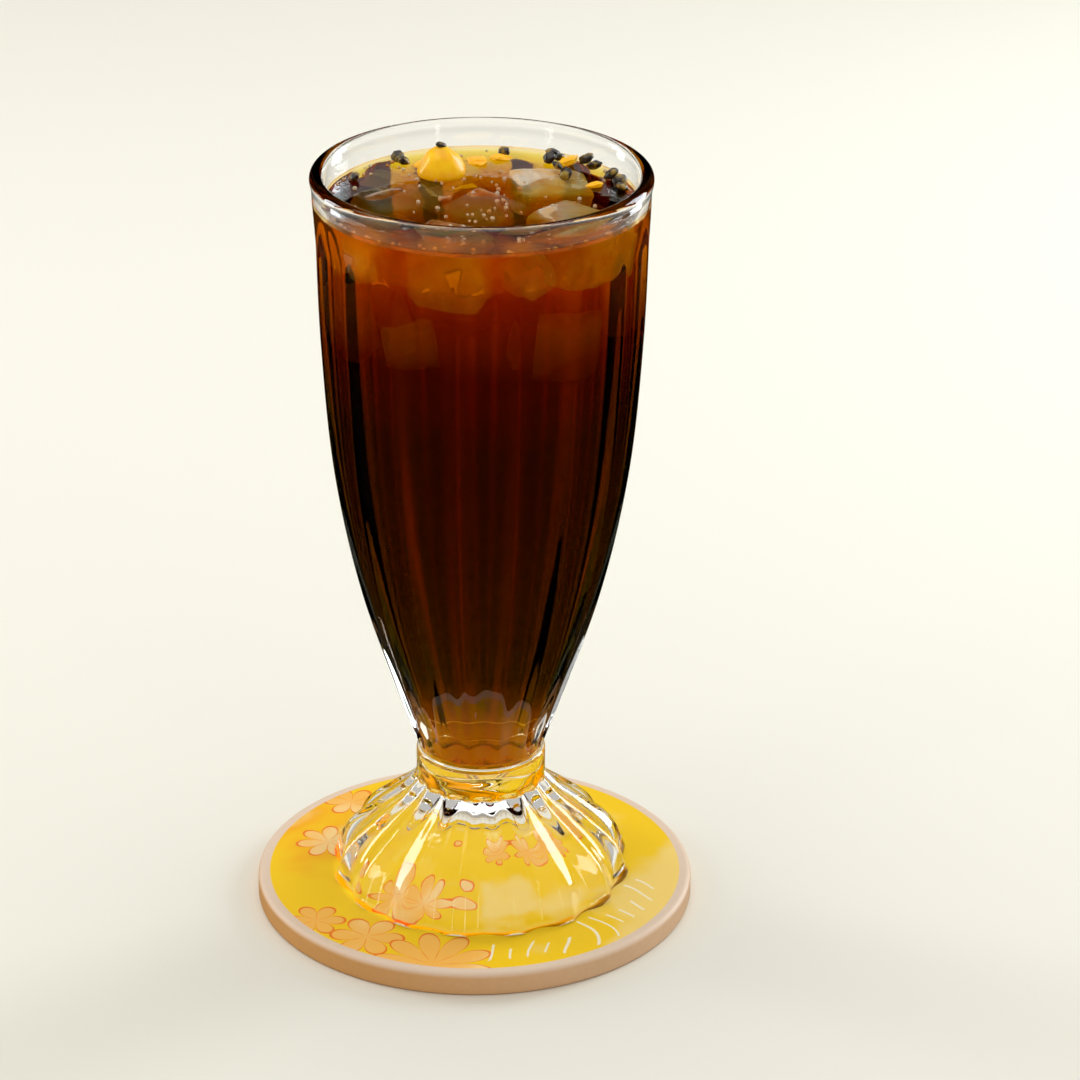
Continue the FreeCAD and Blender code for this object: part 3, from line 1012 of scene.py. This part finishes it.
class DRINK_OT_coffee(DrinkPiece, bpy.types.Operator):
    """Build the coffee up to its level, cut round the ice and the fruit"""

    bl_idname = "drink.coffee"
    bl_label = "Coffee"

    REACH = 0.15 * MM
    MENISCUS = 0.9 * MM
    FILM = 0.12 * MM
    FLAT = 0.2

    def build(self, scene):
        outline = Outline(scene.glass_sizes)
        wall = [row for row in outline.inside(self.REACH) if row[1] < outline.level]
        wall.reverse()
        edge = outline.inner(outline.level) + self.REACH
        profile = wall + [(edge, outline.level + self.MENISCUS)]
        rings = 48
        for step in range(1, rings + 1):
            radius = edge * (1 - (step / rings) ** 1.9)
            climb = self.MENISCUS * math.exp(-(edge - radius) / self.MENISCUS)
            profile.append((radius, outline.level + climb))
        profile[-1] = (0.0, outline.level)
        shape = lathe(profile, outline.angles(), even)
        brew = coffee_material(scene.drink_looks, scene.glass_sizes)
        piece = mesh_piece("coffee_drink", shape, brew)
        stand(piece)
        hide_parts("coffee")
        self.cut_round(piece)
        self.mark_wall(piece, outline)
        self.film(piece)

    def mark_wall(self, piece, outline):
        """Mark the faces that lie against the glass, and not round the ice."""
        marks = piece.data.attributes.new(WALL_MARK, "FLOAT", "FACE")
        for face, mark in zip(piece.data.polygons, marks.data):
            height = face.center.z - GLASS_LOW.z
            radius = math.hypot(face.center.x - GLASS_MIDDLE.x, face.center.y - GLASS_MIDDLE.y)
            wall = outline.inner(max(height, outline.well_top)) - 0.3 * MM
            mark.value = 1.0 if radius > wall or height < outline.well_top else 0.0

    def film(self, piece):
        """Lay a thin film over the open surface, which bends and mirrors the light there."""
        bm = bmesh.new()
        bm.from_mesh(piece.data)
        level = COFFEE_HIGH.z - 0.02 * MM
        other = [face for face in bm.faces
                 if face.calc_center_median().z < level or face.normal.z < self.FLAT]
        bmesh.ops.delete(bm, geom=other, context="FACES")
        bmesh.ops.translate(bm, verts=bm.verts, vec=(0, 0, -0.1 * MM))
        over = bmesh.ops.extrude_face_region(bm, geom=bm.faces[:], use_keep_orig=True)
        verts = [part for part in over["geom"] if isinstance(part, bmesh.types.BMVert)]
        bmesh.ops.translate(bm, verts=verts, vec=(0, 0, self.FILM))
        surface, under = film_materials()
        film = solid_block("coffee_surface", bm, surface, True)
        film.data.materials.append(under)
        film.data.set_sharp_from_angle(angle=math.radians(50))
        for face in film.data.polygons:
            face.material_index = 0 if face.normal.z > self.FLAT else 1

    def cut_round(self, piece):
        """Take the ice and the fruit out of the coffee, all but a thin skin of each."""
        skin = 0.06 * MM
        cutters = []
        for other in list(bpy.data.objects):
            if not other.name.startswith(("ice_block", "sunk_ice", "pulp_sac")):
                continue
            mesh = other.data.copy()
            for vert in mesh.vertices:
                vert.co -= vert.normal * skin
            cutter = bpy.data.objects.new("cutter", mesh)
            bpy.context.collection.objects.link(cutter)
            cutters.append(cutter)
        group = bpy.data.collections.new("cutters")
        for cutter in cutters:
            group.objects.link(cutter)
        cut = piece.modifiers.new("cut", "BOOLEAN")
        cut.operation = "DIFFERENCE"
        cut.operand_type = "COLLECTION"
        cut.collection = group
        cut.solver = "EXACT"
        settled(piece)
        for cutter in cutters:
            mesh = cutter.data
            bpy.data.objects.remove(cutter)
            bpy.data.meshes.remove(mesh)
        bpy.data.collections.remove(group)
        piece.data.polygons.foreach_set("use_smooth", [True] * len(piece.data.polygons))
        piece.data.set_sharp_from_angle(angle=math.radians(32))


class DRINK_OT_fruit(DrinkPiece, bpy.types.Operator):
    """Build the sac of pulp and the small bits of pulp round it"""

    bl_idname = "drink.fruit"
    bl_label = "Fruit"

    # Place across, along and over the level, and size, in millimetres.
    BITS = ((-1.5, 27.5, 0.2, 2.2), (4.0, 30.0, 0.3, 1.8), (20.5, 24.0, 1.6, 2.6),
            (-15.5, 25.0, 0.1, 1.6), (27.0, 11.0, 0.3, 1.7))

    def build(self, scene):
        pulp = pulp_material(scene.drink_looks)
        self.sac(pulp)
        self.bits(pulp)

    def sac(self, material):
        """The drop-shaped sac, a little crooked, with soft folds."""
        low, high = SAC_LOW, SAC_HIGH
        middle = (low + high) / 2
        radius = (high.x - low.x) / 2
        level = COFFEE_HIGH.z
        outline = smooth_path([
            (0.0, low.z, 0), (radius * 0.75, mix(low.z, level, 0.35), 0), (radius, level, 0),
            (radius * 0.74, mix(level, high.z, 0.5), 0),
            (radius * 0.22, mix(level, high.z, 0.9), 0), (0.0, high.z, 0)], 9)
        shape = lathe([(point.x, point.y) for point in outline], round_angles(64), even)
        piece = mesh_piece("pulp_sac", shape, material)
        for vert in piece.data.vertices:
            fold = noise.noise(vert.co * 300) * 0.35 * MM
            away = Vector((vert.co.x, vert.co.y, 0)).normalized()
            vert.co += away * fold * (1 if vert.co.x or vert.co.y else 0)
        piece.data.transform(Matrix.Translation((middle.x, middle.y, 0)))
        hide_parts("passion_fruit_sac")

    def bits(self, material):
        """Small soft bits of pulp round the sac and between the seeds."""
        rng = random.Random(3)
        bm = bmesh.new()
        for across, along, up, size in self.BITS:
            place = afloat(across, along, up)
            turn = Euler([rng.uniform(-0.4, 0.4), rng.uniform(-0.4, 0.4), rng.uniform(0, 6)])
            made = bmesh.ops.create_icosphere(bm, subdivisions=4, radius=1.0)
            for vert in made["verts"]:
                fold = 1 + 0.35 * noise.noise(vert.co * 1.7 + place * 900)
                point = Vector((vert.co.x * 1.4, vert.co.y, vert.co.z * 0.45)) * size * MM * fold
                point.rotate(turn)
                vert.co = point + place
        solid_block("pulp_bits", bm, material, True)


class DRINK_OT_seeds(DrinkPiece, bpy.types.Operator):
    """Scatter the dark seeds and the bubbles on the drink"""

    bl_idname = "drink.seeds"
    bl_label = "Seeds"

    # Place across, along and over the level, in millimetres.
    PLACES = ((-21.0, 28.0, 1.2), (-19.5, 26.5, 0.6), (5.0, 33.0, 1.0), (17.0, 30.0, 1.8),
              (16.0, 27.5, 1.4), (18.5, 25.5, 2.2), (25.0, 24.0, 2.4), (27.0, 20.5, 2.0),
              (31.0, 16.0, 1.4), (33.0, 12.0, 0.8), (18.0, 20.0, 2.0), (20.0, 16.0, 1.4),
              (-31.0, 14.0, 0.8), (33.5, 8.5, 0.8))
    BUBBLES = 150

    def build(self, scene):
        rng = random.Random(5)
        bm = bmesh.new()
        for across, along, up in self.PLACES:
            place = afloat(across, along, up)
            turn = Euler([rng.uniform(-0.6, 0.6), rng.uniform(-0.6, 0.6), rng.uniform(0, 6)])
            seed_shape(bm, place, rng.uniform(1.3, 1.7) * MM, turn)
        sac = (SAC_LOW + SAC_HIGH) / 2
        tip = Vector((sac.x, sac.y, SAC_HIGH.z - 0.4 * MM))
        seed_shape(bm, tip, 1.25 * MM, Euler((0.2, 0.3, 1)))
        solid_block("seeds", bm, seed_material(scene.drink_looks), True)
        self.bubbles()

    def bubbles(self):
        """Bubbles on the surface: every third one along the wall, the rest strewn at random."""
        rng = random.Random(8)
        bm = bmesh.new()
        edge = Outline(bpy.context.scene.glass_sizes).inner(COFFEE_HIGH.z - GLASS_LOW.z)
        for count in range(self.BUBBLES):
            turn = rng.uniform(0, math.tau)
            reach = edge * (0.965 if count % 3 == 0 else rng.uniform(0.1, 0.95))
            radius = rng.uniform(0.25, 0.6) * MM
            place = Vector((GLASS_MIDDLE.x + reach * math.cos(turn),
                            GLASS_MIDDLE.y + reach * math.sin(turn),
                            COFFEE_HIGH.z + radius * 0.4))
            made = bmesh.ops.create_icosphere(bm, subdivisions=2, radius=radius)
            bmesh.ops.translate(bm, verts=made["verts"], vec=place)
        solid_block("bubbles", bm, bubble_material(), True)


class DRINK_OT_coaster(DrinkPiece, bpy.types.Operator):
    """Build the round printed coaster"""

    bl_idname = "drink.coaster"
    bl_label = "Coaster"

    def build(self, scene):
        low, high = COASTER_LOW, COASTER_HIGH
        radius = (high.x - low.x) / 2
        thick = high.z - low.z
        under, top = 0.8 * MM, 1.4 * MM
        profile = [(radius * share, low.z) for share in (0.0, 0.3, 0.6, 0.9)]
        profile += quarter((radius - under, low.z + under), -math.pi / 2, 0, (under, under), 6)
        profile += [(radius, low.z + thick * share) for share in (0.35, 0.55)]
        profile += quarter((radius - top, high.z - top), 0, math.pi / 2, (top, top), 8)
        profile += [(radius * share, high.z) for share in (0.95, 0.7, 0.45, 0.2, 0.0)]
        printed = coaster_material(scene.coaster_looks, radius)
        shape = lathe(profile, round_angles(256), even)
        piece = mesh_piece("printed_coaster", shape, printed)
        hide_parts("coaster")


class DRINK_OT_stage(DrinkPiece, bpy.types.Operator):
    """Set the floor, the light and the camera"""

    bl_idname = "drink.stage"
    bl_label = "Stage"

    # Name, place, size, power and colour, in metres and watts.
    LAMPS = (("right window", (0.80, 0.60, 0.35), (0.30, 0.8), 6.5, (0.86, 0.94, 1.0)),
             ("left window", (-0.95, 0.45, 0.35), (0.22, 0.7), 3.8, (0.92, 0.97, 1.0)),
             ("front left strip", (-0.75, -0.65, 0.30), (0.06, 0.6), 0.45, (1.0, 0.96, 0.9)),
             ("front right strip", (0.55, -0.85, 0.35), (0.05, 0.6), 0.35, (1.0, 0.97, 0.92)),
             ("overhead", (-0.1, 0.35, 1.6), (1.6, 1.6), 11.0, (1.0, 0.98, 0.94)))
    SKY = (1.0, 0.985, 0.95, 1.0)
    AIM = (0.0, 0.0, 0.1)
    BOUNCES = 24

    def build(self, scene):
        looks = scene.stage_looks
        self.floor(looks)
        self.world(scene, looks)
        for lamp in self.LAMPS:
            self.lamp(*lamp)
        self.camera(scene, looks)
        scene.view_settings.view_transform = "Standard"
        scene.cycles.max_bounces = self.BOUNCES
        scene.cycles.transmission_bounces = self.BOUNCES

    def floor(self, looks):
        """A wide pale floor."""
        half = 6.0
        corners = [(-half, -half, 0), (half, -half, 0), (half, half, 0), (-half, half, 0)]
        mesh = bpy.data.meshes.new("floor")
        mesh.from_pydata(corners, [], [(0, 1, 2, 3)])
        floor = bpy.data.objects.new("floor", mesh)
        bpy.context.collection.objects.link(floor)
        mesh.materials.append(floor_material(looks.floor))
        floor.visible_glossy = False

    def world(self, scene, looks):
        """Even light from all round."""
        world = bpy.data.worlds.new("studio")
        world.use_nodes = True
        back = world.node_tree.nodes["Background"]
        back.inputs["Color"].default_value = self.SKY
        back.inputs["Strength"].default_value = looks.daylight
        world.cycles_visibility.glossy = False
        scene.world = world

    def lamp(self, name, place, size, power, colour):
        """A soft rectangular lamp that shines on the drink."""
        data = bpy.data.lights.new(name, "AREA")
        data.shape = "RECTANGLE"
        data.size, data.size_y = size
        data.energy = power
        data.color = colour
        lamp = bpy.data.objects.new(name, data)
        bpy.context.collection.objects.link(lamp)
        lamp.location = place
        aim = Vector(self.AIM) - lamp.location
        lamp.rotation_euler = aim.to_track_quat("-Z", "Y").to_euler()

    def camera(self, scene, looks):
        """A long lens that looks down on the drink."""
        data = bpy.data.cameras.new("camera")
        data.lens = looks.lens
        camera = bpy.data.objects.new("camera", data)
        bpy.context.collection.objects.link(camera)
        camera.location = (looks.across, -looks.distance, looks.camera_height)
        level = Euler((math.pi / 2 - looks.aim_down, 0.0, 0.0)).to_matrix()
        turned = level @ Matrix.Rotation(looks.lean, 3, "Z")
        camera.rotation_euler = turned.to_euler()
        scene.camera = camera


class DRINK_PT_panel(bpy.types.Panel):
    """The drink's pieces and sizes in the sidebar"""

    bl_label = "Iced Coffee"
    bl_idname = "DRINK_PT_panel"
    bl_space_type = "VIEW_3D"
    bl_region_type = "UI"
    bl_category = "Drink"

    def draw(self, context):
        """List the operators and the sizes."""
        for operator in OPERATORS:
            self.layout.operator(operator.bl_idname, text=operator.bl_label)
        for name, group in GROUPS.items():
            box = self.layout.box()
            for prop in group.__annotations__:
                box.prop(getattr(context.scene, name), prop)


GROUPS = {
    "glass_sizes": GlassSizes,
    "drink_looks": DrinkLooks,
    "coaster_looks": CoasterLooks,
    "stage_looks": StageLooks,
}
OPERATORS = (DRINK_OT_coaster, DRINK_OT_glass, DRINK_OT_ice, DRINK_OT_fruit, DRINK_OT_seeds,
             DRINK_OT_coffee, DRINK_OT_stage)


def register():
    """Register every class and hang the settings on the scene."""
    for kind in (*GROUPS.values(), *OPERATORS, DRINK_PT_panel):
        bpy.utils.register_class(kind)
    for name, group in GROUPS.items():
        setattr(bpy.types.Scene, name, PointerProperty(type=group))


def unregister():
    """Take it all out again."""
    for name in GROUPS:
        delattr(bpy.types.Scene, name)
    for kind in (DRINK_PT_panel, *reversed(OPERATORS), *reversed(GROUPS.values())):
        bpy.utils.unregister_class(kind)


def corners(box):
    """A box's two corners as plain lists."""
    return [list(corner) for corner in box]


def main():
    """Build the drink."""
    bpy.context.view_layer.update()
    register()
    for operator in OPERATORS:
        group, name = operator.bl_idname.split(".")
        getattr(getattr(bpy.ops, group), name)()


if __name__ == "__main__":
    main()
